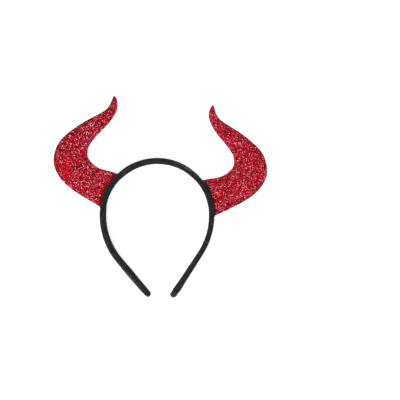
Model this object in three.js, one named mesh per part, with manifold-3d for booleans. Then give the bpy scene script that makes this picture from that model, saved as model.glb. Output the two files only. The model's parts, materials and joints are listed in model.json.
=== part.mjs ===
// A devil horns headband: a springy ribbon-covered band with a pair of flat, cloth-covered horns.
// It lies on its edge, as on a table. Millimetres, +Z up, +Y from the band's open ends to its crown.
// The origin is under the middle of the whole, on the surface that the headband lies on.
import * as THREE from "three";
import { mergeVertices } from "three/addons/utils/BufferGeometryUtils.js";
import Module from "manifold-3d";

const wasm = await Module();
wasm.setup();

// The band: a padded strip with rounded edges, covered in black ribbon. Its crown is half a circle, and each
// side bends in and then runs straight to its end. The radii run to the middle of its thickness.
const BAND_WIDTH = 10;
const BAND_THICKNESS = 5.4;
const BAND_EDGE_RADIUS = 1.9;
const CROWN_RADIUS = 57;

// The two sides differ a little, as bent and glued by hand. seatDeg is where the horn is joined, from the top
// of the crown. leanDeg is how far it leans towards the crown, and rise is its share of HORN_HEIGHT.
const SIDES = {
  left: { hand: -1, radius: 73, sweepDeg: 40, straight: 49.5, seatDeg: 63, leanDeg: 1, rise: 1 },
  right: { hand: 1, radius: 73.5, sweepDeg: 33, straight: 54.5, seatDeg: 71.5, leanDeg: 4.5, rise: 0.975 },
};

// More ribbon is folded round the band at the horns and over its ends. It squeezes the padding, and there is
// a small gap between one cloth and the next.
const RIBBON_WALL = 1;
const CLOTH_GAP = 0.3;
const SQUEEZED_THICKNESS = 4;
const SQUEEZED_WIDTH = 9;
const SQUEEZE_TAPER = 2;

// The fold over each end of the band is a thimble with a rounded end.
const CAP_LENGTH = 6.5;
const CAP_DOME = 3.5;

// The ribbon where a horn is joined makes a sleeve with two lips that hold the horn's base.
const LIP_REACH = 1.8; // past the squeezed band's outer face
const WRAP_OVERRUN = 0.3; // past each corner of the horn's base

// The horns, cut from one pattern: a glitter cloth face on a black felt backing.
const HORN_REACH = 67.7; // from the band's outer face to the far side of the bend
const HORN_HEIGHT = 90; // from the middle of the base to the tip
const HORN_BASE = 39.3;
const FACE_THICKNESS = 1;
const BACKING_THICKNESS = 2;
const BACKING_MARGIN = 0.6; // the felt shows this far round the face
const HORN_CROWN = 1.3; // the middle stands this much higher than the edges
const SETTLING = 18; // the crown and the lean come in over this distance from the band

// The horn's sections from base to tip. out, a share of HORN_REACH, and up, a share of HORN_HEIGHT, place a
// section's middle. turnDeg is the way that the horn runs there, and half is a share of HORN_BASE.
const HORN_SECTIONS = [
  { out: 0.0, up: 0.0, turnDeg: 0, half: 0.5 },
  { out: 0.07, up: 0.0, turnDeg: -2, half: 0.485 },
  { out: 0.27, up: -0.015, turnDeg: 2, half: 0.435 },
  { out: 0.435, up: 0.0, turnDeg: 10, half: 0.44 },
  { out: 0.6, up: 0.04, turnDeg: 25, half: 0.46 },
  { out: 0.725, up: 0.12, turnDeg: 50, half: 0.465 },
  { out: 0.77, up: 0.25, turnDeg: 80, half: 0.405 },
  { out: 0.74, up: 0.385, turnDeg: 102, half: 0.31 },
  { out: 0.66, up: 0.545, turnDeg: 111, half: 0.245 },
  { out: 0.565, up: 0.695, turnDeg: 112, half: 0.185 },
  { out: 0.515, up: 0.81, turnDeg: 102, half: 0.135 },
  { out: 0.515, up: 0.9, turnDeg: 85, half: 0.105 },
  { out: 0.55, up: 0.965, turnDeg: 66, half: 0.065 },
  { out: 0.58, up: 1.0, turnDeg: 57, half: 0.025 },
];

// How finely the curved pieces are faceted.
const CORNER_FACETS = 4;
const BAND_STEP = 6.5;
const DOME_STEPS = 4;
const DOME_LAST_DEG = 78; // a rounded end stops here, in a small flat
const STEPS_PER_SECTION = 3;
const HORN_ACROSS = 6;
const SNAP = 0.01; // distances along the band this close count as one

// Sizes that follow from the ones above.
const QUARTER_TURN = Math.PI / 2;
const QUARTER_RUN = CROWN_RADIUS * QUARTER_TURN;
const RIBBON_BUILD = CLOTH_GAP + RIBBON_WALL;
const SQUEEZED_EDGE_RADIUS = (BAND_EDGE_RADIUS * SQUEEZED_THICKNESS) / BAND_THICKNESS;
const MIDDLE_HEIGHT = Math.max(BAND_WIDTH / 2, SQUEEZED_WIDTH / 2 + RIBBON_BUILD);
const SEAT_RADIUS = CROWN_RADIUS + SQUEEZED_THICKNESS / 2;
const HORN_THICKNESS = BACKING_THICKNESS + CLOTH_GAP + FACE_THICKNESS;
const HORN_STEPS = (HORN_SECTIONS.length - 1) * STEPS_PER_SECTION;

const ribbon = new THREE.MeshStandardMaterial({ color: 0x2a2b2c, roughness: 0.75, metalness: 0 });
const foldedRibbon = new THREE.MeshStandardMaterial({ color: 0x303132, roughness: 0.7, metalness: 0 });
const gluedRibbon = new THREE.MeshStandardMaterial({ color: 0x262728, roughness: 0.8, metalness: 0 });
const glitterCloth = new THREE.MeshStandardMaterial({ color: 0xb01429, roughness: 0.35, metalness: 0.5 });
const felt = new THREE.MeshStandardMaterial({ color: 0x1f1d1e, roughness: 0.95, metalness: 0 });

function radians(degrees) {
  return (degrees * Math.PI) / 180;
}

// Distances from one to another, in equal steps of about the one asked for.
function spaced(from, to, step) {
  const count = Math.max(1, Math.round((to - from) / step));
  return Array.from({ length: count + 1 }, (_, i) => from + ((to - from) * i) / count);
}

// Welds a geometry's faces together at their corners, and moves each corner to where place says.
function shaped(geometry, place) {
  geometry.deleteAttribute("normal");
  geometry.deleteAttribute("uv");
  const solid = mergeVertices(geometry);
  const points = solid.getAttribute("position");
  for (let i = 0; i < points.count; i++) {
    const moved = place(points.getX(i), points.getY(i), points.getZ(i));
    points.setXYZ(i, moved.x, moved.y, moved.z);
  }
  solid.computeVertexNormals();
  return solid;
}

// Draws a section through stations. place says where a station puts the section's point.
function loft(section, stations, place) {
  const steps = stations.length - 1;
  const straight = new THREE.ExtrudeGeometry(section, {
    depth: steps,
    steps,
    bevelEnabled: false,
    curveSegments: CORNER_FACETS / 2, // an arc gets twice this many
  });
  return shaped(straight, (x, y, z) => place(stations[Math.round(z)], x, y));
}

function roundedRectangle(width, height, radius) {
  const x = width / 2 - radius;
  const y = height / 2 - radius;
  const shape = new THREE.Shape();
  shape.absarc(x, y, radius, 0, QUARTER_TURN);
  shape.absarc(-x, y, radius, QUARTER_TURN, 2 * QUARTER_TURN);
  shape.absarc(-x, -y, radius, 2 * QUARTER_TURN, 3 * QUARTER_TURN);
  shape.absarc(x, -y, radius, 3 * QUARTER_TURN, 4 * QUARTER_TURN);
  return shape;
}

// A point beside one half of the band: run is the distance from the top of the crown along the band's
// middle line, out is away from that line and up is away from its plane.
function beside(side, run, out, up) {
  const crownTurn = Math.min(run, QUARTER_RUN) / CROWN_RADIUS;
  const sideTurn = THREE.MathUtils.clamp((run - QUARTER_RUN) / side.radius, 0, radians(side.sweepDeg));
  const straight = Math.max(0, run - QUARTER_RUN - side.radius * radians(side.sweepDeg));
  const turn = crownTurn + sideTurn;
  const outward = new THREE.Vector2(Math.sin(turn), Math.cos(turn));
  const onward = new THREE.Vector2(outward.y, -outward.x);
  const point = new THREE.Vector2(Math.sin(crownTurn), Math.cos(crownTurn)).multiplyScalar(CROWN_RADIUS);
  point.x -= side.radius * (1 - Math.cos(sideTurn));
  point.y -= side.radius * Math.sin(sideTurn);
  point.addScaledVector(onward, straight).addScaledVector(outward, out);
  return new THREE.Vector3(side.hand * point.x, point.y, MIDDLE_HEIGHT + up);
}

// Distances from the top of the crown: to the end of the side's bend and to where a fold's rounded end
// starts, and the spans of the sleeve at the horn and of the straight part of the fold.
function bendEnd(side) {
  return QUARTER_RUN + side.radius * radians(side.sweepDeg);
}

function domeStart(side) {
  return bendEnd(side) + side.straight - CAP_DOME;
}

function sleeveSpan(side) {
  const middle = CROWN_RADIUS * radians(side.seatDeg);
  const half = (HORN_BASE / 2) * (CROWN_RADIUS / SEAT_RADIUS) + WRAP_OVERRUN;
  return { from: middle - half, to: middle + half };
}

function foldSpan(side) {
  return { from: domeStart(side) + CAP_DOME - CAP_LENGTH, to: domeStart(side) };
}

function within(run, { from, to }) {
  return run > from - SNAP && run < to + SNAP;
}

// The distances at which the sections of one half of the band stand, up to its rounded end.
function bandRuns(side) {
  const sleeve = sleeveSpan(side);
  const fold = foldSpan(side);
  const marks = [
    0,
    sleeve.from - SQUEEZE_TAPER,
    sleeve.from,
    sleeve.to,
    sleeve.to + SQUEEZE_TAPER,
    bendEnd(side),
    fold.from - SQUEEZE_TAPER,
    fold.from,
    fold.to,
  ];
  const stretches = marks.slice(1).map((mark, i) => spaced(marks[i], mark, BAND_STEP).slice(1));
  return [0, ...stretches.flat()];
}

// The stations of a rounded end of the given depth. share is how much is left of the full section.
function domeStations(side, depth) {
  return spaced(0, radians(DOME_LAST_DEG), radians(DOME_LAST_DEG / DOME_STEPS))
    .slice(1)
    .map((turn) => ({ run: domeStart(side) + depth * Math.sin(turn), share: Math.cos(turn) }));
}

// One half of the band's stations. thin and narrow are shares of its full thickness and width.
function bandStations(side) {
  const squeezed = { thin: SQUEEZED_THICKNESS / BAND_THICKNESS, narrow: SQUEEZED_WIDTH / BAND_WIDTH };
  const full = { thin: 1, narrow: 1 };
  const spans = [sleeveSpan(side), foldSpan(side)];
  const arm = bandRuns(side).map((run) => ({
    side,
    run,
    share: 1,
    ...(spans.some((span) => within(run, span)) ? squeezed : full),
  }));
  const end = domeStations(side, CAP_DOME - RIBBON_BUILD);
  return [...arm, ...end.map((station) => ({ side, ...station, ...squeezed }))];
}

function headband() {
  const stations = [...bandStations(SIDES.left).reverse(), ...bandStations(SIDES.right).slice(1)];
  const section = roundedRectangle(BAND_THICKNESS, BAND_WIDTH, BAND_EDGE_RADIUS);
  return loft(section, stations, ({ side, run, share, thin, narrow }, out, up) =>
    beside(side, run, out * share * thin, up * share * narrow),
  );
}

// A loft along one half of the band. It runs the other way on the left, so that its faces point outwards.
function halfLoft(side, section, stations, place) {
  return loft(section, side.hand < 0 ? [...stations].reverse() : stations, place);
}

function solidOf(geometry) {
  return new wasm.Manifold(
    new wasm.Mesh({
      numProp: 3,
      vertProperties: new Float32Array(geometry.getAttribute("position").array),
      triVerts: new Uint32Array(geometry.index.array),
    }),
  );
}

function geometryOf(solid) {
  const mesh = solid.getMesh();
  const geometry = new THREE.BufferGeometry();
  geometry.setAttribute("position", new THREE.BufferAttribute(mesh.vertProperties, 3));
  geometry.setIndex(new THREE.BufferAttribute(mesh.triVerts, 1));
  geometry.computeVertexNormals();
  return geometry;
}

// The squeezed end of the band, made thicker all round by build, from one distance to a dome of some depth.
function thickenedEnd(side, from, build, depth) {
  const section = roundedRectangle(
    SQUEEZED_THICKNESS + 2 * build,
    SQUEEZED_WIDTH + 2 * build,
    SQUEEZED_EDGE_RADIUS + build,
  );
  const straight = [from, domeStart(side)].map((run) => ({ run, share: 1 }));
  const stations = [...straight, ...domeStations(side, depth)];
  const place = ({ run, share }, out, up) => beside(side, run, out * share, up * share);
  return solidOf(halfLoft(side, section, stations, place));
}

// The fold over one end: a thimble with an even wall, open at its mouth.
function endCap(side) {
  const mouth = foldSpan(side).from;
  const outside = thickenedEnd(side, mouth, RIBBON_BUILD, CAP_DOME);
  const inside = thickenedEnd(side, mouth - CAP_LENGTH, CLOTH_GAP, CAP_DOME - RIBBON_WALL);
  return geometryOf(outside.subtract(inside));
}

// The glued sleeve's section: a loop round the band, open on its outer side, with a lip each side of the
// horn. x is out from the band's middle line and y is up from its middle plane.
function wrapSection() {
  const slot = HORN_THICKNESS / 2 + CLOTH_GAP;
  const lipTop = slot + RIBBON_WALL;
  const lipEnd = SQUEEZED_THICKNESS / 2 + LIP_REACH;
  const x = SQUEEZED_THICKNESS / 2 - SQUEEZED_EDGE_RADIUS;
  const y = SQUEEZED_WIDTH / 2 - SQUEEZED_EDGE_RADIUS;
  const outer = SQUEEZED_EDGE_RADIUS + RIBBON_BUILD;
  const inner = SQUEEZED_EDGE_RADIUS + CLOTH_GAP;
  const outerStart = Math.asin(Math.max(0, (lipTop - y) / outer));
  const innerStart = Math.asin(Math.max(0, (slot - y) / inner));
  const outerX = x + outer * Math.cos(outerStart);
  const innerX = x + inner * Math.cos(innerStart);
  const shape = new THREE.Shape();
  shape.moveTo(lipEnd, slot);
  shape.lineTo(lipEnd, lipTop);
  shape.lineTo(outerX, lipTop);
  shape.absarc(x, y, outer, outerStart, QUARTER_TURN);
  shape.absarc(-x, y, outer, QUARTER_TURN, 2 * QUARTER_TURN);
  shape.absarc(-x, -y, outer, 2 * QUARTER_TURN, 3 * QUARTER_TURN);
  shape.absarc(x, -y, outer, 3 * QUARTER_TURN, 4 * QUARTER_TURN - outerStart);
  shape.lineTo(outerX, -lipTop);
  shape.lineTo(lipEnd, -lipTop);
  shape.lineTo(lipEnd, -slot);
  shape.lineTo(innerX, -slot);
  shape.absarc(x, -y, inner, 4 * QUARTER_TURN - innerStart, 3 * QUARTER_TURN, true);
  shape.absarc(-x, -y, inner, 3 * QUARTER_TURN, 2 * QUARTER_TURN, true);
  shape.absarc(-x, y, inner, 2 * QUARTER_TURN, QUARTER_TURN, true);
  shape.absarc(x, y, inner, QUARTER_TURN, innerStart, true);
  shape.lineTo(innerX, slot);
  return shape;
}

// The sleeve at one horn. Its sections stand where the band's do.
function hornWrap(side) {
  const runs = bandRuns(side).filter((run) => within(run, sleeveSpan(side)));
  return halfLoft(side, wrapSection(), runs, (run, out, up) => beside(side, run, out, up));
}

// One edge of the horn. The crown's centre is at 0, 0, and the horn goes out along +x. hand is 1 for the
// edge that faces the crown and -1 for the far one.
function hornEdge(rise, hand) {
  const points = HORN_SECTIONS.map(({ out, up, turnDeg, half }) => {
    const turn = radians(turnDeg);
    const across = new THREE.Vector3(-Math.sin(turn), Math.cos(turn), 0);
    const middle = new THREE.Vector3(SEAT_RADIUS + CLOTH_GAP + out * HORN_REACH, up * HORN_HEIGHT * rise, 0);
    return middle.addScaledVector(across, hand * half * HORN_BASE);
  });
  return new THREE.CatmullRomCurve3(points);
}

// The horn's stations, which stop short of the tip by a margin. reach is the distance from the base.
function hornStations(rise, margin) {
  const inner = hornEdge(rise, 1);
  const outer = hornEdge(rise, -1);
  const end = 1 - margin / HORN_HEIGHT;
  let reach = 0;
  let last = null;
  return spaced(0, end, end / HORN_STEPS).map((share) => {
    const across = inner.getPoint(share).sub(outer.getPoint(share)).multiplyScalar(0.5);
    const middle = outer.getPoint(share).add(across);
    reach += last ? middle.distanceTo(last) : 0;
    last = middle;
    return { middle, across: across.clone().normalize(), half: across.length(), reach };
  });
}

// One cloth of a horn: a sheet whose base follows the band, which leans a little and is crowned across
// its width. bottom is its height above the band's middle plane.
function hornSheet(side, bottom, thickness, margin) {
  const stations = hornStations(side.rise, margin);
  const sheet = new THREE.BoxGeometry(2, HORN_STEPS, thickness, HORN_ACROSS, HORN_STEPS, 1);
  const upright = new THREE.Vector3(0, 0, 1);
  const pivot = new THREE.Vector3(SEAT_RADIUS, 0, 0);
  return shaped(sheet, (share, y, z) => {
    const { middle, across, half, reach } = stations[Math.round(y + HORN_STEPS / 2)];
    const settled = THREE.MathUtils.smoothstep(reach, 0, SETTLING);
    const aside = share * (half - margin);
    const point = middle.clone().addScaledVector(across, -aside);
    const offAxis = Math.min(1, Math.abs(point.y) / SEAT_RADIUS);
    point.x -= (1 - settled) * SEAT_RADIUS * (1 - Math.sqrt(1 - offAxis ** 2));
    point.sub(pivot).applyAxisAngle(upright, radians(side.leanDeg) * settled).add(pivot);
    const droop = HORN_CROWN * settled * (aside / half) ** 2;
    point.z = MIDDLE_HEIGHT + bottom + thickness / 2 + z - droop;
    return point;
  });
}

function named(name, geometry, material) {
  const mesh = new THREE.Mesh(geometry, material);
  mesh.name = name;
  return mesh;
}

// A horn's two cloths, turned to their seat on the crown. The left horn is the right one's mirror image.
function horn(name, side) {
  const bottom = -HORN_THICKNESS / 2;
  const faceBottom = bottom + BACKING_THICKNESS + CLOTH_GAP;
  const backing = hornSheet(side, bottom, BACKING_THICKNESS, 0);
  const face = hornSheet(side, faceBottom, FACE_THICKNESS, BACKING_MARGIN);
  const turned = new THREE.Group();
  turned.rotation.z = QUARTER_TURN - radians(side.seatDeg);
  turned.add(named(`horn_backing_${name}`, backing, felt), named(`horn_face_${name}`, face, glitterCloth));
  const mirrored = new THREE.Group();
  mirrored.scale.x = side.hand;
  mirrored.add(turned);
  return mirrored;
}

const assembly = new THREE.Group();
assembly.add(named("headband", headband(), ribbon));
for (const [name, side] of Object.entries(SIDES)) {
  assembly.add(named(`end_cap_${name}`, endCap(side), foldedRibbon));
  assembly.add(named(`horn_wrap_${name}`, hornWrap(side), gluedRibbon));
  assembly.add(horn(name, side));
}

// The origin goes under the middle of the whole.
const box = new THREE.Box3().setFromObject(assembly, true);
assembly.position.set(-(box.min.x + box.max.x) / 2, -(box.min.y + box.max.y) / 2, -box.min.z);

const model = new THREE.Group();
model.add(assembly);

export default model;
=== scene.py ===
import json
import math

import bpy
from mathutils import Matrix, Vector, noise

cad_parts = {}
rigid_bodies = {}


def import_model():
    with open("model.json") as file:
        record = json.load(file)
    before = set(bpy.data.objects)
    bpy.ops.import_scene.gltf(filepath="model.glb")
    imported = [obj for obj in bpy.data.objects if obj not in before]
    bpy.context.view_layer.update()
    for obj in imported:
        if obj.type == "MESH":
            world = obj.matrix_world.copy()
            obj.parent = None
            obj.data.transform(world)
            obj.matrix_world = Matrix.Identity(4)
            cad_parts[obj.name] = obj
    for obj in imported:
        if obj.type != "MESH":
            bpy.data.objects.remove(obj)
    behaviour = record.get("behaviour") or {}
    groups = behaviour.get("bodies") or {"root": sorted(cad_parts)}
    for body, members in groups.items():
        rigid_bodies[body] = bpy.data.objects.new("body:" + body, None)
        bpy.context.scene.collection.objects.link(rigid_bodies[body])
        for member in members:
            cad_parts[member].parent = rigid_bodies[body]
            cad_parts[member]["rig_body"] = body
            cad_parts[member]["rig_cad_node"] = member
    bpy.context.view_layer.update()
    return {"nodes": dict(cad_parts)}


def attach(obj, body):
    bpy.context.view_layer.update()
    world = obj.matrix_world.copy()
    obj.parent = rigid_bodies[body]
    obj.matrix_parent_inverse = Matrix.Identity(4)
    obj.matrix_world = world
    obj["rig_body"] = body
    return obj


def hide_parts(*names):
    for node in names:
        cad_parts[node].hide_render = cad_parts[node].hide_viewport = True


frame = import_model()
MM = 0.001

# The camera looks straight down from arm's length, as over a table, with the headband in the left half
# of its square view.
VIEW_WIDTH = 420 * MM
VIEW_CENTRE = (41.6 * MM, -3.3 * MM)
CAMERA_HEIGHT = 1.2
SENSOR_WIDTH = 36
bpy.ops.object.camera_add(location=(*VIEW_CENTRE, CAMERA_HEIGHT), rotation=(0, 0, 0))
camera = bpy.context.object
camera.data.sensor_width = SENSOR_WIDTH
camera.data.lens = SENSOR_WIDTH * CAMERA_HEIGHT / VIEW_WIDTH
bpy.context.scene.camera = camera

# The band: a springy strip in thin padding, covered in black grosgrain ribbon. The ribbon is wrapped round
# it lengthwise and glued, with one edge lapped over the other along the middle of the inner side.
CROWN_CENTRE = Vector((-3.045, -19.333, 5.8)) * MM
CROWN_RADIUS = 57 * MM
QUARTER_RUN = CROWN_RADIUS * math.pi / 2
BAND_WIDE, BAND_CORNER = 10 * MM, 1.9 * MM
SQUEEZED_THICK, SQUEEZED_WIDE, SQUEEZED_CORNER = 4.8 * MM, 9.5 * MM, 1.6 * MM
RIBBON_WALL = 0.35 * MM
RIBBON_LAP = 2.5 * MM
BAND_STEP = 1.2 * MM

# Each side's bend and arm, then how thick its padding is, in millimetres, and how far the strip is
# twisted, in degrees, both at distances in millimetres from the top of the crown.
SIDES = {
    "left": {
        "hand": -1,
        "radius": 73 * MM,
        "sweep": math.radians(40),
        "straight": 49.5 * MM,
        "seat": math.radians(63),
        "thick": ((0, 6.1), (45, 6.5), (140, 6.6), (155, 6.8), (180, 6.4)),
        "twist": ((0, 3), (60, 6), (105, 7), (135, 10), (158, 14), (190, 9)),
    },
    "right": {
        "hand": 1,
        "radius": 73.5 * MM,
        "sweep": math.radians(33),
        "straight": 54.5 * MM,
        "seat": math.radians(71.5),
        "thick": ((0, 6.1), (45, 5.7), (120, 5.4), (165, 5.9), (175, 6.8), (187, 6.6)),
        "twist": ((0, 3), (60, 2), (105, 1), (140, 3), (165, 6), (187, 9)),
    },
}
WRAP_HALF = 19.6 * MM
FOLD_LENGTH = 6.5 * MM
TIP_BEND, TIP_BEND_RUN = 0.45 * MM, 14 * MM
PINCH_BEFORE, PINCH_PAST = 5 * MM, 3 * MM
TUCK_BEFORE, TUCK_PAST = 1.5 * MM, 1 * MM


def arm_end(side):
    """The distance from the top of the crown to the tip."""
    return QUARTER_RUN + side["radius"] * side["sweep"] + side["straight"]


def eased(value, start, end):
    """From 0 at start to 1 at end, with a soft beginning and end."""
    share = min(1.0, max(0.0, (value - start) / (end - start)))
    return share * share * (3 - 2 * share)


def mixed(first, last, share):
    return first + (last - first) * share


def knotted(knots, run):
    """A value that eases from knot to knot along the band."""
    for (start, first), (end, last) in zip(knots, knots[1:]):
        if run <= end * MM:
            break
    return mixed(first, last, eased(run, start * MM, end * MM))


def squeeze(side, run):
    """How far the strip is squeezed: 1 under the wrap and the fold, and 0 in between."""
    seat = CROWN_RADIUS * side["seat"]
    fold = arm_end(side) - FOLD_LENGTH
    at_wrap = 1 - eased(abs(run - seat), WRAP_HALF - PINCH_BEFORE, WRAP_HALF + PINCH_PAST)
    return max(at_wrap, eased(run, fold - TUCK_BEFORE, fold + TUCK_PAST))


def band_size(side, run):
    """The strip's thickness, width and corner radius."""
    plump = (knotted(side["thick"], run) * MM, BAND_WIDE, BAND_CORNER)
    tight = (SQUEEZED_THICK, SQUEEZED_WIDE, SQUEEZED_CORNER)
    squeezed = squeeze(side, run)
    return [mixed(first, last, squeezed) for first, last in zip(plump, tight)]


def on_band(side, run, out, up):
    """A place beside the band: run along its middle line, out from it and up from its middle plane."""
    crown_turn = min(run, QUARTER_RUN) / CROWN_RADIUS
    side_turn = min(max(run - QUARTER_RUN, 0) / side["radius"], side["sweep"])
    straight = max(run - QUARTER_RUN - side["radius"] * side["sweep"], 0)
    turn = crown_turn + side_turn
    outward = Vector((math.sin(turn), math.cos(turn), 0))
    onward = Vector((outward.y, -outward.x, 0))
    place = Vector((math.sin(crown_turn), math.cos(crown_turn), 0)) * CROWN_RADIUS
    place -= Vector((1 - math.cos(side_turn), math.sin(side_turn), 0)) * side["radius"]
    tilt = math.radians(knotted(side["twist"], run))
    out -= TIP_BEND * eased(run, arm_end(side) - TIP_BEND_RUN, arm_end(side))
    out, up = out * math.cos(tilt) - up * math.sin(tilt), out * math.sin(tilt) + up * math.cos(tilt)
    place += onward * straight + outward * out
    return CROWN_CENTRE + Vector((side["hand"] * place.x, place.y, up))


def round_strip(distance, thick, wide, corner):
    """A place and its outward direction on the strip's rounded section, as (out, up). The distance goes
    round the section from the middle of the inner side, upwards first."""
    upright, level, quarter = wide / 2 - corner, thick - 2 * corner, corner * math.pi / 2
    place, heading = Vector((-thick / 2, 0)), 0.0
    legs = (upright, quarter, level, quarter, 2 * upright, quarter, level, quarter, upright)
    for leg, length in enumerate(legs):
        step = min(distance, length)
        if leg % 2:
            place += Vector((math.cos(heading), -math.sin(heading))) * corner
            heading += step / corner
            place -= Vector((math.cos(heading), -math.sin(heading))) * corner
        else:
            place += Vector((math.sin(heading), math.cos(heading))) * step
        distance -= step
        if distance <= 0:
            break
    return place, Vector((-math.cos(heading), math.sin(heading)))


def round_length(thick, wide, corner):
    return 2 * (thick + wide) - 8 * corner + 2 * math.pi * corner


def ribbon_sheet(name, along, around, place):
    """A flat grid of ribbon, moved to where place says for each share along it and across it."""
    bpy.ops.object.select_all(action="DESELECT")
    bpy.ops.mesh.primitive_grid_add(x_subdivisions=along, y_subdivisions=around, size=1)
    sheet = bpy.context.object
    sheet.name = sheet.data.name = name
    for vertex in sheet.data.vertices:
        vertex.co = place(vertex.co.x + 0.5, vertex.co.y + 0.5)
    return sheet


def tidied(piece, weld=None):
    """Merges a piece's doubles and turns its faces outwards."""
    bpy.ops.object.select_all(action="DESELECT")
    piece.select_set(True)
    bpy.context.view_layer.objects.active = piece
    bpy.ops.object.mode_set(mode="EDIT")
    bpy.ops.mesh.select_all(action="SELECT")
    if weld:
        bpy.ops.mesh.remove_doubles(threshold=weld)
    bpy.ops.mesh.normals_make_consistent(inside=False)
    bpy.ops.object.mode_set(mode="OBJECT")


def modified(piece, kind, **settings):
    """Adds a modifier with its settings and applies it."""
    modifier = piece.modifiers.new(kind.title(), kind)
    for name, value in settings.items():
        if name.startswith("Socket_"):
            modifier[name] = value
        else:
            setattr(modifier, name, value)
    bpy.ops.object.select_all(action="DESELECT")
    piece.select_set(True)
    bpy.context.view_layer.objects.active = piece
    bpy.ops.object.modifier_apply(modifier=modifier.name)


def smooth(piece, angle):
    bpy.ops.object.select_all(action="DESELECT")
    piece.select_set(True)
    bpy.context.view_layer.objects.active = piece
    bpy.ops.object.shade_smooth_by_angle(angle=math.radians(angle))


def linear(colour):
    """An sRGB hex colour as Blender's linear values."""
    parts = [int(colour[i : i + 2], 16) / 255 for i in (1, 3, 5)]
    return (*[c / 12.92 if c <= 0.04045 else ((c + 0.055) / 1.055) ** 2.4 for c in parts], 1)


def add(tree, kind, settings=None, links=None):
    """Adds a node to a tree, with its settings and sockets set and other nodes' outputs linked to it."""
    node = tree.nodes.new(kind)
    for name, value in (settings or {}).items():
        if name == "stops":
            ramp = node.color_ramp
            ramp.elements[0].position, ramp.elements[-1].position = value[0][0], value[-1][0]
            for position, _ in value[1:-1]:
                ramp.elements.new(position)
            for element, (_, shade) in zip(ramp.elements, value):
                element.color = linear(shade)
        elif isinstance(name, int) or name in node.inputs:
            node.inputs[name].default_value = value
        else:
            setattr(node, name, value)
    for name, source in (links or {}).items():
        tree.links.new(source, node.inputs[name])
    return node


def finish_of(name, **sockets):
    """A material by its maker's name, with its tree and its shader, whose own sockets are set."""
    material = bpy.data.materials.new(name)
    material.use_nodes = True
    shader = material.node_tree.nodes["Principled BSDF"]
    for socket, value in sockets.items():
        shader.inputs[socket.replace("_", " ")].default_value = value
    return material, material.node_tree, shader


LAP_CLEAR = 0.05 * MM
STRIP_SHORT = 2 * MM
SOFT_ALONG, SOFT_ROUND, SOFT_DEPTH = 9 * MM, 6 * MM, 0.12 * MM
PUCKER_ALONG, PUCKER_ROUND, PUCKER_DEPTH = 1.6 * MM, 5 * MM, 0.16 * MM
PUCKER_SEED = 7
PUCKER_FADE = 30 * MM
BAND_STRIPS = 56


def band_place(along, around):
    """The ribbon on the band: softly uneven, lapped on the inner side and puckered inside the bend."""
    run = mixed(-arm_end(SIDES["left"]), arm_end(SIDES["right"]), along)
    side = SIDES["left" if run < 0 else "right"]
    size = band_size(side, abs(run))
    length = round_length(*size)
    distance = around * (length + RIBBON_LAP) - RIBBON_LAP / 2
    lift = eased(distance, length - 2 * RIBBON_LAP, length - RIBBON_LAP / 2) * (RIBBON_WALL + LAP_CLEAR)
    section, outward = round_strip(distance % length, *size)
    inner = max(0.0, -outward.x)
    bent = 1 - eased(abs(run), QUARTER_RUN, QUARTER_RUN + PUCKER_FADE)
    soft = noise.noise(Vector((run / SOFT_ALONG, distance / SOFT_ROUND, 0))) * SOFT_DEPTH
    pucker = noise.noise(Vector((run / PUCKER_ALONG, distance / PUCKER_ROUND, PUCKER_SEED)))
    pucker *= PUCKER_DEPTH * inner * bent
    section += outward * (lift + (soft + pucker) * (1 - squeeze(side, abs(run))))
    return on_band(side, min(abs(run), arm_end(side) - STRIP_SHORT), section.x, section.y)


band_steps = round((arm_end(SIDES["left"]) + arm_end(SIDES["right"])) / BAND_STEP)
band = ribbon_sheet("ribbon_covered_band", band_steps, BAND_STRIPS, band_place)
tidied(band)
modified(band, "SOLIDIFY", thickness=RIBBON_WALL, offset=-1)
smooth(band, 50)

# Grosgrain in polyester: fine ribs across the ribbon, matte, with worn streaks along it and pale specks
# that paint glints of threads catching the light. Most of them are in two places, given as centres and half
# sizes in millimetres along the ribbon and across it.
# A wave texture repeats every tau / 20 / scale, so the ribs are 1.8 mm apart, coarser than real ones, so that
# they show. The eye gets a dull black that goes a little grey along the ribs.
RIB_SCALE = 0.175
ribbon, tree, shader = finish_of(
    "black grosgrain ribbon",
    Roughness=0.62,
    Sheen_Weight=0.06,
    Sheen_Roughness=0.4,
    Specular_IOR_Level=0.2,
)
RIBBON_SHARE = (376, 30, 1)
# Painted glints: pale specks of threads catching the light, denser in two places.
PAINTED_GLINT_MORE = 0.17
PAINTED_GLINT_PLACES = (((27, 10.6), (16, 1.8)), ((222, 9.5), (22, 2.2)))
spot = add(tree, "ShaderNodeTexCoord").outputs["UV"]
spot = add(tree, "ShaderNodeMapping", {"Scale": RIBBON_SHARE}, {"Vector": spot}).outputs["Vector"]
ribs = add(
    tree,
    "ShaderNodeTexWave",
    {"Scale": RIB_SCALE, "Distortion": 0.6, "Detail": 1.0},
    {"Vector": spot},
)
slub_spot = add(tree, "ShaderNodeMapping", {"Scale": (0.2, 0.5, 1)}, {"Vector": spot})
slubs = add(
    tree,
    "ShaderNodeTexNoise",
    {"Scale": 1.0, "Detail": 4.0},
    {"Vector": slub_spot.outputs["Vector"]},
)
glint_spot = add(tree, "ShaderNodeMapping", {"Scale": (0.55, 1.5, 1)}, {"Vector": spot})
painted_glints = add(
    tree,
    "ShaderNodeTexNoise",
    {"Scale": 0.9, "Detail": 2.0},
    {"Vector": glint_spot.outputs["Vector"]},
)
painted_glints = painted_glints.outputs["Fac"]
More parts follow.
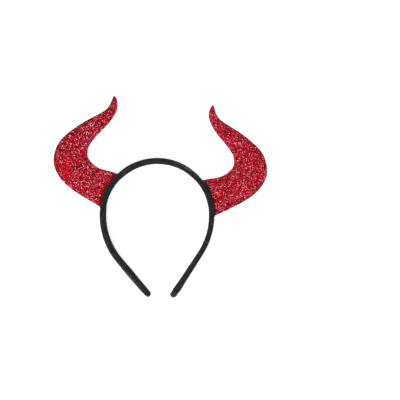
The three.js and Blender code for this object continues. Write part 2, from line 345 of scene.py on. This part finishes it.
for centre, half_size in PAINTED_GLINT_PLACES:
    away = add(tree, "ShaderNodeVectorMath", {"operation": "SUBTRACT", 1: (*centre, 0)}, {0: spot})
    away = add(
        tree,
        "ShaderNodeVectorMath",
        {"operation": "DIVIDE", 1: (*half_size, 1)},
        {0: away.outputs[0]},
    )
    away = add(tree, "ShaderNodeVectorMath", {"operation": "LENGTH"}, {0: away.outputs[0]})
    more = add(
        tree,
        "ShaderNodeMapRange",
        {"To Min": PAINTED_GLINT_MORE, "To Max": 0.0},
        {"Value": away.outputs["Value"]},
    )
    painted_glints = add(tree, "ShaderNodeMath", {"operation": "ADD"}, {0: painted_glints, 1: more.outputs[0]}).outputs[0]
threads = add(
    tree,
    "ShaderNodeValToRGB",
    {"stops": ((0.32, "#070607"), (0.5, "#100f10"), (0.7, "#302d2e"))},
    {"Fac": slubs.outputs["Fac"]},
)
# Painted glints: pale grey specks where the speck noise is high, more of them in the two places.
specks = add(
    tree,
    "ShaderNodeValToRGB",
    {"stops": ((0.64, "#000000"), (0.73, "#ffffff"))},
    {"Fac": painted_glints},
)
cloth = add(
    tree,
    "ShaderNodeMix",
    {"data_type": "RGBA", 7: linear("#605d5e")},
    {0: specks.outputs["Color"], 6: threads.outputs["Color"]},
)
tree.links.new(cloth.outputs[2], shader.inputs["Base Color"])
bump = add(
    tree,
    "ShaderNodeBump",
    {"Strength": 0.5, "Distance": 0.15 * MM},
    {"Height": ribs.outputs["Fac"]},
)
tree.links.new(bump.outputs["Normal"], shader.inputs["Normal"])
band.data.materials.append(ribbon)
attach(band, "root")
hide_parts("headband")

# The end folds: the covering ribbon's ends, folded over the tips of the band and glued. Each makes a
# rounded thimble with a crease, its ribs running on over the tip. The right one is painted paler and the left
# one darker, painted light and shade on two copies of one ribbon. The flat size has the area of the ribbon's
# full width gathered over the tip, 30.9 mm round and 8.55 mm long.
FOLD_WALL = 0.4 * MM
FOLD_BUILD = 0.8 * MM
FOLD_DOME = 3.6 * MM
FOLD_CREASE = {"left": 0.1 * MM, "right": 0.3 * MM}
CREASE_AT, CREASE_WIDTH = 1.6 * MM, 0.5 * MM
RUMPLE_ALONG, RUMPLE_DEPTH = 2.2 * MM, 0.2 * MM
RUMPLES_ROUND = 9
ALMOST_ROUND = 0.999999
SMALLEST_SHARE = 1e-4
FOLD_STEPS, FOLD_STRIPS = 26, 56
FOLD_WELD = 0.002 * MM


def fold_place(side, depth):
    """Where the fold's ribbon lies on this side, with its crease that deep."""
    mouth = arm_end(side) - FOLD_LENGTH
    bend = arm_end(side) - FOLD_DOME

    def place(along, around):
        reach = along * (FOLD_LENGTH - FOLD_DOME + FOLD_DOME * math.pi / 2)
        turn = max(0.0, reach - (bend - mouth)) / FOLD_DOME
        share = max(math.cos(turn), SMALLEST_SHARE)
        run = mouth + min(reach, bend - mouth) + FOLD_DOME * math.sin(turn)
        thick, wide = SQUEEZED_THICK + 2 * FOLD_BUILD, SQUEEZED_WIDE + 2 * FOLD_BUILD
        size = (thick, wide, SQUEEZED_CORNER + FOLD_BUILD)
        section, outward = round_strip(around * round_length(*size) * ALMOST_ROUND, *size)
        rumple = noise.noise(Vector((reach / RUMPLE_ALONG, around * RUMPLES_ROUND, side["hand"])))
        crease = rumple * RUMPLE_DEPTH
        crease -= depth * math.exp(-(((reach - CREASE_AT) / CREASE_WIDTH) ** 2))
        section = (section + outward * crease) * share
        return on_band(side, run, section.x, section.y)

    return place


# The same polyester grosgrain at the tips, mottled, with soft, uneven ribs: a dull black on the left, painted
# shade, and a charcoal on the right, painted light.
FOLD_TONES = {"left": ("#050405", "#141213"), "right": ("#121112", "#2e2b2c")}
for name, side in SIDES.items():
    fold_ribbon, tree, shader = finish_of(
        f"black grosgrain ribbon, folded on the {name}",
        Roughness=0.58,
        Sheen_Weight=0.1,
        Sheen_Roughness=0.4,
        Specular_IOR_Level=0.25,
    )
    spot = add(tree, "ShaderNodeTexCoord").outputs["Object"]
    wear = add(tree, "ShaderNodeTexNoise", {"Scale": 0.9 / MM, "Detail": 3.0}, {"Vector": spot})
    turn = math.pi / 2 + side["sweep"]
    along_arm = math.atan2(math.sin(turn), side["hand"] * math.cos(turn))
    rib_spot = add(tree, "ShaderNodeMapping", {"Rotation": (0, 0, along_arm)}, {"Vector": spot})
    ribs = add(
        tree,
        "ShaderNodeTexWave",
        {"Scale": RIB_SCALE / MM, "Distortion": 0.4},
        {"Vector": rib_spot.outputs["Vector"]},
    )
    # This side's two tones: painted lighter on the right and painted darker on the left.
    dark, lighter_tone = FOLD_TONES[name]
    shade = add(
        tree,
        "ShaderNodeValToRGB",
        {"stops": ((0.35, dark), (0.65, lighter_tone))},
        {"Fac": wear.outputs["Fac"]},
    )
    tree.links.new(shade.outputs["Color"], shader.inputs["Base Color"])
    bump = add(
        tree,
        "ShaderNodeBump",
        {"Strength": 0.6, "Distance": 0.15 * MM},
        {"Height": ribs.outputs["Fac"]},
    )
    tree.links.new(bump.outputs["Normal"], shader.inputs["Normal"])
    fold = ribbon_sheet(f"ribbon_fold_{name}", FOLD_STEPS, FOLD_STRIPS, fold_place(side, FOLD_CREASE[name]))
    tidied(fold, weld=FOLD_WELD)
    modified(fold, "SOLIDIFY", thickness=FOLD_WALL, offset=-1)
    smooth(fold, 60)
    fold.data.materials.append(fold_ribbon)
    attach(fold, "root")
    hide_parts(f"end_cap_{name}")

# The ribbon at each horn: one strip folded round the band like a sleeve, open on the outer side, with its
# two edges glued as lips on the horn's base. It is a little creased where it is pulled tight.
WRAP_WALL = 0.4 * MM
WRAP_OUT, WRAP_UP, WRAP_CORNER = 2.8 * MM, 5.2 * MM, 2.1 * MM
WRAP_EASE = 0.1 * MM
WRAP_STEPS, WRAP_STRIPS = 48, 72
WRAP_FLAT = (2 * WRAP_HALF, 25.5 * MM)
LIP_UP, LIP_ROOM = 2.2 * MM, 0.3 * MM
LIP_FLARE, LIP_FLARE_RUN = 0.25 * MM, 0.4 * MM
RAGGED_DEPTH, RAGGED_ALONG = 0.3 * MM, 9
RAGGED_SEED = 3
CREASE_DEPTH = 0.16 * MM
CREASES_ALONG, CREASES_SLANT, CREASES_ROUND = 14, 5, 6
LIP_AT_ENDS, LIP_ENDS_FROM = 0.15, 0.36
LIP_LEAN = 0.3
LIPS = {
    "left": {"reach": 0.6 * MM, "extra": 0.5 * MM, "at": 0.75, "spread": 0.3},
    "right": {"reach": 0.8 * MM, "extra": 1.2 * MM, "at": 0.2, "spread": 0.14},
}


def wrap_place(name, side):
    """Where the wrap's ribbon lies: round the band, with two ragged lips on the horn's base."""
    lip = LIPS[name]
    opening = LIP_UP + LIP_ROOM

    def place(along, around):
        start = CROWN_RADIUS * side["seat"] - WRAP_HALF
        run = start + along * 2 * WRAP_HALF
        ends = 1 - eased(abs(along - 0.5), LIP_ENDS_FROM, 0.5)
        thick, wide, _ = band_size(side, run)
        clear = 2 * WRAP_EASE + WRAP_WALL
        size = (max(2 * WRAP_OUT, thick + clear), max(2 * WRAP_UP, wide + clear), WRAP_CORNER)
        length = round_length(*size)
        loop = length - 2 * opening
        extra = lip["extra"] * math.exp(-(((along - lip["at"]) / lip["spread"]) ** 2))
        ragged = noise.noise(Vector((along * RAGGED_ALONG, side["hand"] * RAGGED_SEED, 0))) * RAGGED_DEPTH
        reach = lip["reach"] + ragged + (extra if around < 0.5 else 0)
        reach *= mixed(LIP_AT_ENDS, 1, ends)
        total = loop + 2 * reach
        distance = around * total
        upwards = 1 if distance < total / 2 else -1
        past = reach - min(distance, total - distance)
        if past > 0:
            lip_up = LIP_UP + LIP_FLARE * math.exp(-past / LIP_FLARE_RUN)
            section = Vector((size[0] / 2 + past, upwards * lip_up))
            outward = Vector((LIP_LEAN, upwards))
        else:
            round_it = (length / 2 - opening - (distance - reach)) % length
            section, outward = round_strip(round_it, *size)
        slant = along * CREASES_ALONG + around * CREASES_SLANT
        creases = noise.noise(Vector((slant, around * CREASES_ROUND, side["hand"])))
        section += outward * creases * CREASE_DEPTH
        return on_band(side, run, section.x, section.y)

    return place


# The same grosgrain, soaked with glue: the dullest and evenest black of the three.
wrap_ribbon, tree, shader = finish_of(
    "black grosgrain ribbon, glued",
    Roughness=0.7,
    Sheen_Weight=0.06,
    Sheen_Roughness=0.5,
    Specular_IOR_Level=0.2,
)
WRAP_SHARE = (WRAP_FLAT[0] / MM, WRAP_FLAT[1] / MM, 1)
places = add(tree, "ShaderNodeTexCoord")
spot = add(tree, "ShaderNodeMapping", {"Scale": WRAP_SHARE}, {"Vector": places.outputs["UV"]})
ribs = add(
    tree,
    "ShaderNodeTexWave",
    {"Scale": RIB_SCALE, "Distortion": 0.6, "Detail": 1.0},
    {"Vector": spot.outputs["Vector"]},
)
nap = add(
    tree,
    "ShaderNodeTexNoise",
    {"Scale": 0.8 / MM, "Detail": 4.0},
    {"Vector": places.outputs["Object"]},
)
shade = add(
    tree,
    "ShaderNodeValToRGB",
    {"stops": ((0.35, "#0d0c0d"), (0.65, "#1c1a1b"))},
    {"Fac": nap.outputs["Fac"]},
)
tree.links.new(shade.outputs["Color"], shader.inputs["Base Color"])
bump = add(
    tree,
    "ShaderNodeBump",
    {"Strength": 0.4, "Distance": 0.15 * MM},
    {"Height": ribs.outputs["Fac"]},
)
tree.links.new(bump.outputs["Normal"], shader.inputs["Normal"])
for name, side in SIDES.items():
    wrap = ribbon_sheet(f"ribbon_wrap_{name}", WRAP_STEPS, WRAP_STRIPS, wrap_place(name, side))
    tidied(wrap)
    modified(wrap, "SOLIDIFY", thickness=WRAP_WALL, offset=0)
    smooth(wrap, 60)
    wrap.data.materials.append(wrap_ribbon)
    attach(wrap, "root")
    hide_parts(f"horn_wrap_{name}")

# The horns' backing: black craft felt, 2 mm thick, cut out by hand with scissors. Its edge shows all round
# the glitter cloth as a thin dark line.
CUT_ANGLE = math.radians(50)
SOLID_WELD = 0.001 * MM


def copy_of(node, name):
    """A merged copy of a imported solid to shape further, as a new piece."""
    bpy.ops.object.select_all(action="DESELECT")
    solid = frame["nodes"][node]
    solid.select_set(True)
    bpy.context.view_layer.objects.active = solid
    bpy.ops.object.duplicate()
    piece = bpy.context.object
    piece.name = piece.data.name = name
    piece.parent = None
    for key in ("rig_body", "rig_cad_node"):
        del piece[key]
    piece.data.materials.clear()
    bpy.ops.object.mode_set(mode="EDIT")
    bpy.ops.mesh.select_all(action="SELECT")
    bpy.ops.mesh.remove_doubles(threshold=SOLID_WELD)
    bpy.ops.mesh.customdata_custom_splitnormals_clear()
    bpy.ops.mesh.tris_convert_to_quads(face_threshold=math.radians(60), shape_threshold=math.radians(80))
    bpy.ops.object.mode_set(mode="OBJECT")
    return piece


# Matted fibres, drawn about 0.8 mm across, coarser than real ones so that they show: a soft brown-black
# with no gloss.
felt_finish, tree, shader = finish_of(
    "black craft felt",
    Roughness=0.95,
    Sheen_Weight=0.1,
    Sheen_Roughness=0.6,
    Specular_IOR_Level=0.15,
)
spot = add(tree, "ShaderNodeTexCoord").outputs["Object"]
fibres = add(
    tree,
    "ShaderNodeTexNoise",
    {"Scale": 1.2 / MM, "Detail": 5.0, "Distortion": 1.5},
    {"Vector": spot},
)
shade = add(
    tree,
    "ShaderNodeValToRGB",
    {"stops": ((0.35, "#0a0506"), (0.7, "#190d10"))},
    {"Fac": fibres.outputs["Fac"]},
)
tree.links.new(shade.outputs["Color"], shader.inputs["Base Color"])
bump = add(
    tree,
    "ShaderNodeBump",
    {"Strength": 0.8, "Distance": 0.3 * MM},
    {"Height": fibres.outputs["Fac"]},
)
tree.links.new(bump.outputs["Normal"], shader.inputs["Normal"])
FELT_ROUNDING = 0.4 * MM
for name in SIDES:
    felt = copy_of(f"horn_backing_{name}", f"felt_backing_{name}")
    modified(felt, "BEVEL", width=FELT_ROUNDING, segments=2, limit_method="ANGLE", angle_limit=CUT_ANGLE)
    modified(felt, "SUBSURF", levels=2, render_levels=2)
    smooth(felt, 80)
    felt.data.materials.append(felt_finish)
    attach(felt, "root")
    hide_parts(f"horn_backing_{name}")

# The horns' faces: red glitter cloth, a woven cloth with glue and foil flakes scattered on it, cut to the
# felt's shape a little smaller and glued down. This is the cloth itself, dark red between the flakes.
CUT_BELOW = 0.8
CLOTH_ROUNDING = 0.25 * MM
CLOTH_SHIFT = {"left": (0.5 * MM, -0.48 * MM), "right": (-0.3 * MM, -0.38 * MM)}
# Cloth soaked with red glue and foil dust: a dark red that glints a little between the flakes.
base_finish, tree, shader = finish_of(
    "red glitter cloth",
    Roughness=0.4,
    Metallic=0.3,
    Specular_IOR_Level=0.5,
)
spot = add(tree, "ShaderNodeTexCoord").outputs["Object"]
dust = add(tree, "ShaderNodeTexVoronoi", {"Scale": 2.2 / MM}, {"Vector": spot})
shade = add(
    tree,
    "ShaderNodeValToRGB",
    {"stops": ((0.0, "#4c0612"), (0.6, "#7a0a1a"), (1.0, "#a81428"))},
    {"Fac": dust.outputs["Color"]},
)
tree.links.new(shade.outputs["Color"], shader.inputs["Base Color"])
bump = add(
    tree,
    "ShaderNodeBump",
    {"Strength": 0.7, "Distance": 0.2 * MM},
    {"Height": dust.outputs["Distance"]},
)
tree.links.new(bump.outputs["Normal"], shader.inputs["Normal"])
# Where the scissors cut, the cloth's white threads show through the red: a mottled pink line.
cut_edge, tree, shader = finish_of("glitter cloth's cut edge", Roughness=0.8, Specular_IOR_Level=0.3)
spot = add(tree, "ShaderNodeTexCoord").outputs["Object"]
threads = add(tree, "ShaderNodeTexNoise", {"Scale": 1.4 / MM, "Detail": 3.0}, {"Vector": spot})
shade = add(
    tree,
    "ShaderNodeValToRGB",
    {"stops": ((0.4, "#a8102a"), (0.55, "#d0606e"), (0.7, "#eeb4ba"))},
    {"Fac": threads.outputs["Fac"]},
)
tree.links.new(shade.outputs["Color"], shader.inputs["Base Color"])
cloths = {}
for name in SIDES:
    cloth = copy_of(f"horn_face_{name}", f"glitter_cloth_{name}")
    modified(cloth, "BEVEL", width=CLOTH_ROUNDING, segments=2, limit_method="ANGLE", angle_limit=CUT_ANGLE)
    modified(cloth, "SUBSURF", levels=2, render_levels=2)
    cloth.data.transform(Matrix.Translation(Vector((*CLOTH_SHIFT[name], 0))))
    smooth(cloth, 80)
    cloth.data.materials.append(base_finish)
    cloth.data.materials.append(cut_edge)
    for face in cloth.data.polygons:
        face.material_index = int(abs(face.normal.z) < CUT_BELOW)
    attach(cloth, "root")
    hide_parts(f"horn_face_{name}")
    cloths[name] = cloth

# The glitter: six-sided flakes of red metallised foil about 0.7 mm across, scattered on the wet glue, so
# they lie at all angles. Places are tried at random, and those that are far enough apart get a flake.
FLAKE_RADIUS = 0.34 * MM
FLAKE_THICK = 0.08 * MM
FLAKE_TRIES_TO_A_SQUARE_MM = 30
FLAKE_SPACING = 0.302 * MM
FLAKE_TILT, CALM_TILT = 0.5, 0.3
FLAKE_SIZES = (0.7, 1.25)
FLAKE_LIFTS = (0.05 * MM, 0.4 * MM)
FACE_ABOVE = 0.35
# A calm patch on the left horn, given as centre and half sizes. Its flakes lie flatter, a real cause of a
# smooth sheen, and their colour values are evened towards a bright red, which paints the sheen on top.
CALM_CENTRE = (-97 * MM, 28 * MM)
CALM_HALF_SIZE = (7 * MM, 20 * MM)
CALM_FROM, CALM_TO = 0.2, 1.2
CALM_VARIETY, CALM_SHEEN_VALUE = 0.74, 0.62
# Painted shade: the flakes' colour value is darkened beside the band, as the band's shade on the horn. From
# just outside the crown it rises from the darkest share to full over each horn's reach.
BAND_SHADE_START, BAND_SHADE_DARKEST = CROWN_RADIUS + 2 * MM, 0.4
# For each horn: a power on the flakes' colour value, which paints the right horn lighter than the left; the
# reach in millimetres of the painted shade beside the band; and how widely the flakes vary.
GLITTER = {
    "left": {"painted_light_power": 1.0, "glued": 4 * MM, "variety": 0.99},
    "right": {"painted_light_power": 0.9, "glued": 2.5 * MM, "variety": 0.94},
}

bpy.ops.object.select_all(action="DESELECT")
bpy.ops.mesh.primitive_cone_add(
    vertices=6, radius1=FLAKE_RADIUS, radius2=0, depth=FLAKE_THICK, rotation=(math.pi, 0, 0)
)
bpy.ops.object.transform_apply(rotation=True)
flake = bpy.context.object
flake.name = "flake"

# Polyester film, metallised and dyed: mirror-like red. Most flakes are red. The maroon ones are painted shade
# and the few pale pink and nearly silver ones are painted glints, on top of the real sparkle of the tilted
# flakes, which gives the eye dark and bright specks side by side.
foil, tree, shader = finish_of(
    "red metallised glitter foil",
    Metallic=1.0,
    Roughness=0.28,
)
each = add(tree, "ShaderNodeAttribute", {"attribute_name": "foil"})
# The dark stops paint shade and the pale pink and near-white stops paint glints.
shade = add(
    tree,
    "ShaderNodeValToRGB",
    {
        "stops": (
            (0.0, "#32020b"),
            (0.28, "#6c0516"),
            (0.42, "#b60922"),
            (0.79, "#c80c28"),
            (0.87, "#ee4a5c"),
            (0.94, "#ff8c98"),
            (1.0, "#ffe0e0"),
        )
    },
    {"Fac": each.outputs["Fac"]},
)
tree.links.new(shade.outputs["Color"], shader.inputs["Base Color"])

scatter = bpy.data.node_groups.new("scattered flakes", "GeometryNodeTree")
scatter.interface.new_socket("Geometry", in_out="INPUT", socket_type="NodeSocketGeometry")
scatter.interface.new_socket("Geometry", in_out="OUTPUT", socket_type="NodeSocketGeometry")
scatter.interface.new_socket("Painted light power", in_out="INPUT", socket_type="NodeSocketFloat")
scatter.interface.new_socket("Band shade reach", in_out="INPUT", socket_type="NodeSocketFloat")
scatter.interface.new_socket("Variety", in_out="INPUT", socket_type="NodeSocketFloat")
cloth_in = add(scatter, "NodeGroupInput")
facing = add(scatter, "ShaderNodeSeparateXYZ", {}, {0: add(scatter, "GeometryNodeInputNormal").outputs[0]})
upper = add(
    scatter,
    "FunctionNodeCompare",
    {"operation": "GREATER_THAN", "B": FACE_ABOVE},
    {"A": facing.outputs["Z"]},
)
points = add(
    scatter,
    "GeometryNodeDistributePointsOnFaces",
    {
        "distribute_method": "POISSON",
        "Distance Min": FLAKE_SPACING,
        "Density Max": FLAKE_TRIES_TO_A_SQUARE_MM / MM**2,
        "Seed": 5,
    },
    {"Mesh": cloth_in.outputs["Geometry"], "Selection": upper.outputs["Result"]},
)
place = add(scatter, "GeometryNodeInputPosition")
from_calm = add(
    scatter,
    "ShaderNodeVectorMath",
    {"operation": "SUBTRACT", 1: (*CALM_CENTRE, 0)},
    {0: place.outputs[0]},
)
from_calm = add(
    scatter,
    "ShaderNodeVectorMath",
    {"operation": "MULTIPLY", 1: (1 / CALM_HALF_SIZE[0], 1 / CALM_HALF_SIZE[1], 0)},
    {0: from_calm.outputs[0]},
)
from_calm = add(scatter, "ShaderNodeVectorMath", {"operation": "LENGTH"}, {0: from_calm.outputs[0]})
ruffled = add(
    scatter,
    "ShaderNodeMapRange",
    {"From Min": CALM_FROM, "From Max": CALM_TO, "To Min": CALM_VARIETY},
    {"Value": from_calm.outputs["Value"], "To Max": cloth_in.outputs["Variety"]},
)
tilt = add(
    scatter,
    "ShaderNodeMapRange",
    {"From Min": 0.0, "From Max": 1.0, "To Min": CALM_TILT, "To Max": 1.0},
    {"Value": ruffled.outputs[0]},
)
lean = add(
    scatter,
    "FunctionNodeRandomValue",
    {
        "data_type": "FLOAT_VECTOR",
        0: (-FLAKE_TILT, -FLAKE_TILT, 0),
        1: (FLAKE_TILT, FLAKE_TILT, 0),
        "Seed": 1,
    },
)
lean = add(
    scatter,
    "ShaderNodeVectorMath",
    {"operation": "SCALE"},
    {0: lean.outputs[0], "Scale": tilt.outputs[0]},
)
spin = add(
    scatter,
    "FunctionNodeRandomValue",
    {"data_type": "FLOAT_VECTOR", 0: (0, 0, 0), 1: (0, 0, math.tau), "Seed": 2},
)
leaned = add(scatter, "FunctionNodeEulerToRotation", {}, {0: lean.outputs[0]})
spun = add(scatter, "FunctionNodeEulerToRotation", {}, {0: spin.outputs[0]})
turned = add(
    scatter,
    "FunctionNodeRotateRotation",
    {"rotation_space": "LOCAL"},
    {0: leaned.outputs[0], 1: spun.outputs[0]},
)
turned = add(
    scatter,
    "FunctionNodeRotateRotation",
    {"rotation_space": "LOCAL"},
    {0: points.outputs["Rotation"], 1: turned.outputs[0]},
)
size = add(scatter, "FunctionNodeRandomValue", {2: FLAKE_SIZES[0], 3: FLAKE_SIZES[1], "Seed": 3})
one = add(scatter, "GeometryNodeObjectInfo", {"Object": flake})
flakes_on = add(
    scatter,
    "GeometryNodeInstanceOnPoints",
    {},
    {
        "Points": points.outputs["Points"],
        "Instance": one.outputs["Geometry"],
        "Rotation": turned.outputs[0],
        "Scale": size.outputs[1],
    },
)
kind = add(scatter, "FunctionNodeRandomValue", {"Seed": 4})
# Painted sheen: the colour value is mixed towards a bright red, most in the calm patch and a little
# everywhere by each horn's variety.
painted_calm_sheen = add(scatter, "ShaderNodeMix", {2: CALM_SHEEN_VALUE}, {0: ruffled.outputs[0], 3: kind.outputs[1]})
# Painted light: a power per horn on the colour value paints the right horn lighter than the left.
horn_painted_tone = add(
    scatter,
    "ShaderNodeMath",
    {"operation": "POWER"},
    {0: painted_calm_sheen.outputs[0], 1: cloth_in.outputs["Painted light power"]},
)
# Painted shade beside the band: the colour value is darkened near the crown. It is darkest at the band's edge
# and full past each horn's reach.
from_crown = add(
    scatter,
    "ShaderNodeVectorMath",
    {"operation": "DISTANCE", 1: CROWN_CENTRE},
    {0: place.outputs[0]},
)
band_shade_end = add(
    scatter,
    "ShaderNodeMath",
    {"operation": "ADD", 1: BAND_SHADE_START},
    {0: cloth_in.outputs["Band shade reach"]},
)
glued = add(
    scatter,
    "ShaderNodeMapRange",
    {"From Min": BAND_SHADE_START, "To Min": BAND_SHADE_DARKEST, "To Max": 1.0},
    {"Value": from_crown.outputs["Value"], "From Max": band_shade_end.outputs[0]},
)
shaded_near_band = add(
    scatter,
    "ShaderNodeMath",
    {"operation": "MULTIPLY"},
    {0: horn_painted_tone.outputs[0], 1: glued.outputs[0]},
)
coloured = add(
    scatter,
    "GeometryNodeStoreNamedAttribute",
    {"data_type": "FLOAT", "domain": "INSTANCE", "Name": "foil"},
    {"Geometry": flakes_on.outputs["Instances"], "Value": shaded_near_band.outputs[0]},
)
height = add(scatter, "FunctionNodeRandomValue", {2: FLAKE_LIFTS[0], 3: FLAKE_LIFTS[1], "Seed": 6})
up = add(scatter, "ShaderNodeCombineXYZ", {}, {"Z": height.outputs[1]})
lifted = add(
    scatter,
    "GeometryNodeTranslateInstances",
    {},
    {"Instances": coloured.outputs["Geometry"], "Translation": up.outputs[0]},
)
real = add(scatter, "GeometryNodeRealizeInstances", {}, {"Geometry": lifted.outputs["Instances"]})
painted = add(
    scatter,
    "GeometryNodeSetMaterial",
    {"Material": foil},
    {"Geometry": real.outputs["Geometry"]},
)
add(scatter, "NodeGroupOutput", {}, {0: painted.outputs["Geometry"]})

for name, cloth in cloths.items():
    bpy.ops.object.select_all(action="DESELECT")
    cloth.select_set(True)
    bpy.context.view_layer.objects.active = cloth
    bpy.ops.object.duplicate()
    glitter = bpy.context.object
    glitter.name = glitter.data.name = f"glitter_flakes_{name}"
    # Per horn: the power that paints its tone, the reach of the painted shade beside the band, and its
    # variety.
    painted_light_power, glued, variety = GLITTER[name].values()
    modified(
        glitter,
        "NODES",
        node_group=scatter,
        Socket_2=painted_light_power,
        Socket_3=glued,
        Socket_4=variety,
    )
    glitter.data.materials.clear()
    glitter.data.materials.append(foil)
    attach(glitter, "root")
bpy.data.objects.remove(flake)

# The studio: a floor of white paper, lit from within a little so that it photographs white, a ring of
# softboxes that is strongest at the lower left, and a room that is grey overhead.
FLOOR_SIZE, FLOOR_DROP = 60, 0.15 * MM
bpy.ops.mesh.primitive_plane_add(size=FLOOR_SIZE, location=(0, 0, -FLOOR_DROP))
floor = bpy.context.object
floor.name = "paper_floor"
paper, tree, shader = finish_of(
    "white studio paper",
    Roughness=0.9,
    Base_Color=linear("#fafafa"),
    Emission_Color=linear("#ffffff"),
    Emission_Strength=0.5,
)
floor.data.materials.append(paper)

KEY_TIP, KEY_POWER, KEY_SPREAD = math.radians(62), 1.0, math.radians(25)
KEY_TURN = -math.pi / 4
bpy.ops.object.light_add(type="SUN", rotation=(KEY_TIP, 0, KEY_TURN))
bpy.context.object.data.energy = KEY_POWER
bpy.context.object.data.angle = KEY_SPREAD
SOFTBOXES = 8
SOFTBOX_POWER, SOFTBOX_FAVOUR = 0.33, 0.3
SOFTBOX_SPREAD = math.radians(14)
SOFTBOX_TIPS = (math.radians(30), math.radians(38))
for softbox in range(SOFTBOXES):
    turn = math.tau * softbox / SOFTBOXES + KEY_TURN
    bpy.ops.object.light_add(type="SUN", rotation=(SOFTBOX_TIPS[softbox % 2], 0, turn))
    lamp = bpy.context.object
    lamp.data.energy = SOFTBOX_POWER * (1 + SOFTBOX_FAVOUR * math.cos(turn - KEY_TURN))
    lamp.data.angle = SOFTBOX_SPREAD

world = bpy.data.worlds.new("studio")
bpy.context.scene.world = world
world.use_nodes = True
sky = world.node_tree
background = sky.nodes["Background"]
direction = add(sky, "ShaderNodeTexCoord").outputs["Generated"]
height = add(sky, "ShaderNodeSeparateXYZ", {}, {0: direction})
room = add(
    sky,
    "ShaderNodeValToRGB",
    {"stops": ((0.0, "#ffffff"), (0.12, "#f6f6f6"), (0.45, "#7c7c7c"))},
    {"Fac": height.outputs["Z"]},
)
sky.links.new(room.outputs["Color"], background.inputs["Color"])
background.inputs["Strength"].default_value = 1.0
bpy.context.scene.view_settings.view_transform = "Standard"
